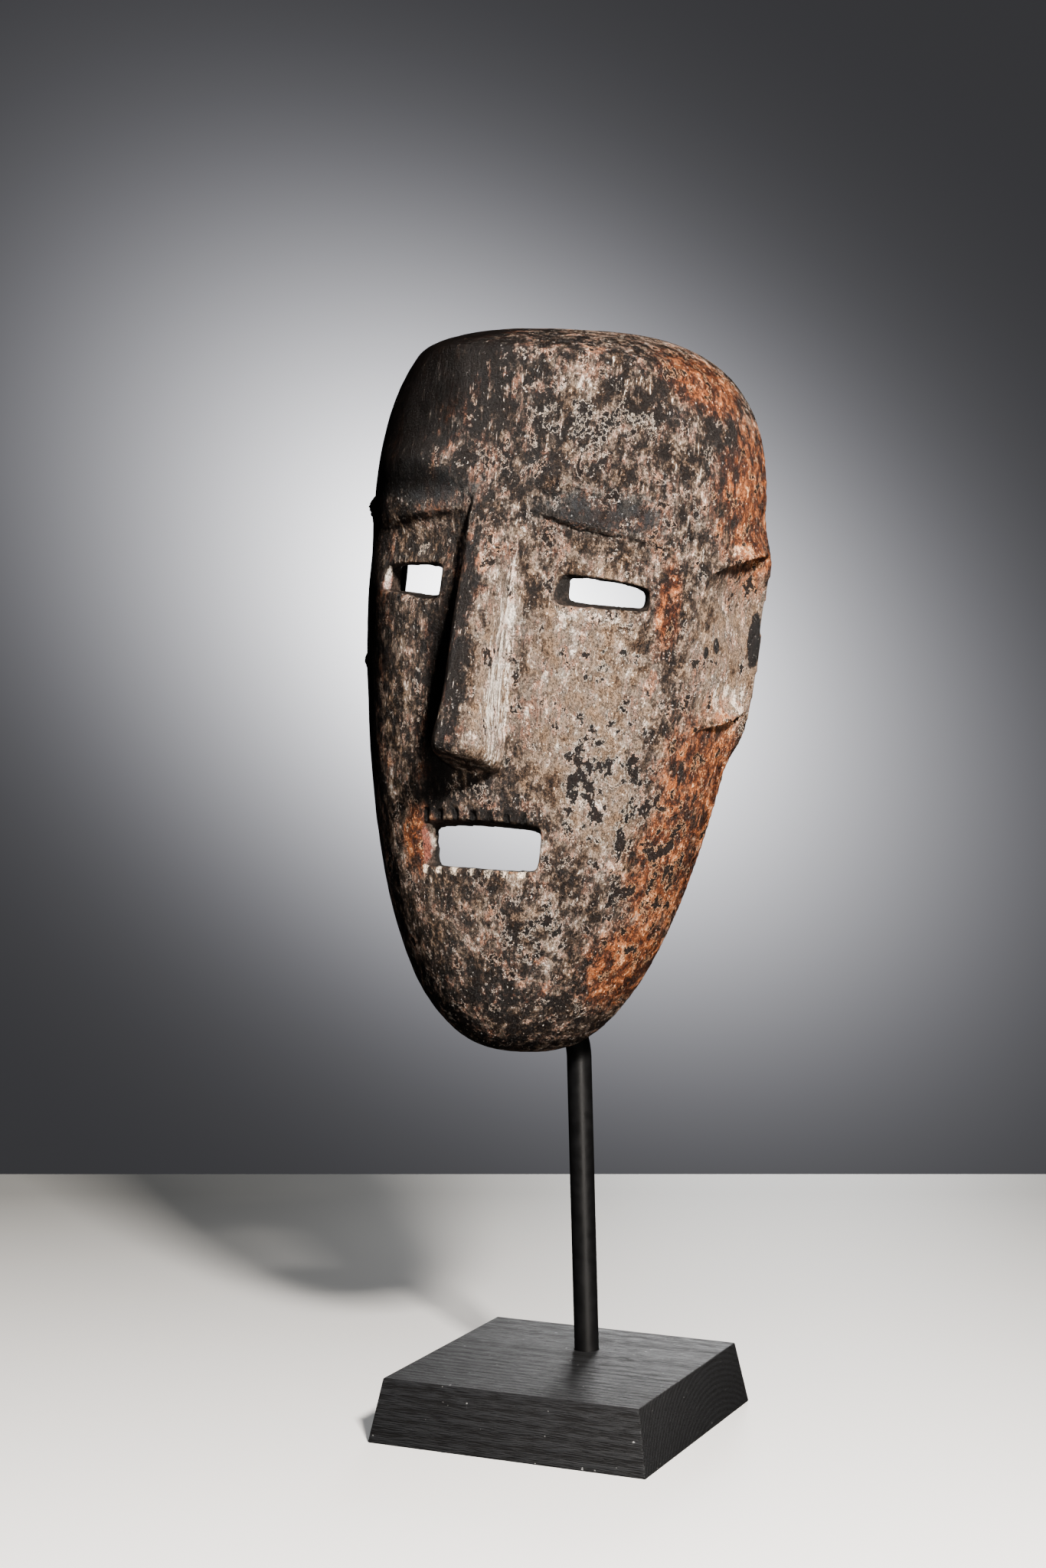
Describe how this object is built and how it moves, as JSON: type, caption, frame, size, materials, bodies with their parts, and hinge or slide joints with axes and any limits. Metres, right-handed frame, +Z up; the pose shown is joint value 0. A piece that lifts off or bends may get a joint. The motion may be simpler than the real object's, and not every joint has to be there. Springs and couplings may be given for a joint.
{
  "type": "nyamwezi mask",
  "caption": "Carved wooden face mask with slot eyes, a notched mouth and ledge ears, hollow behind, held upright by a bent steel rod on a bevelled square plinth.",
  "frame": {"origin": "centre of the plinth's underside", "axes": "+Z up, -Y the way the plinth and the face look, +X to the viewer's right"},
  "size_m": [0.2039, 0.1714, 0.5229],
  "materials": {
    "carved_wood": "worn dark patina over carved hardwood, satin where handled",
    "black_steel": "satin black",
    "black_wood": "matt black stain, open grain"
  },
  "bodies": {
    "root": {"mask": "carved_wood", "rod": "black_steel", "plinth": "black_wood"}
  },
  "joints": []
}
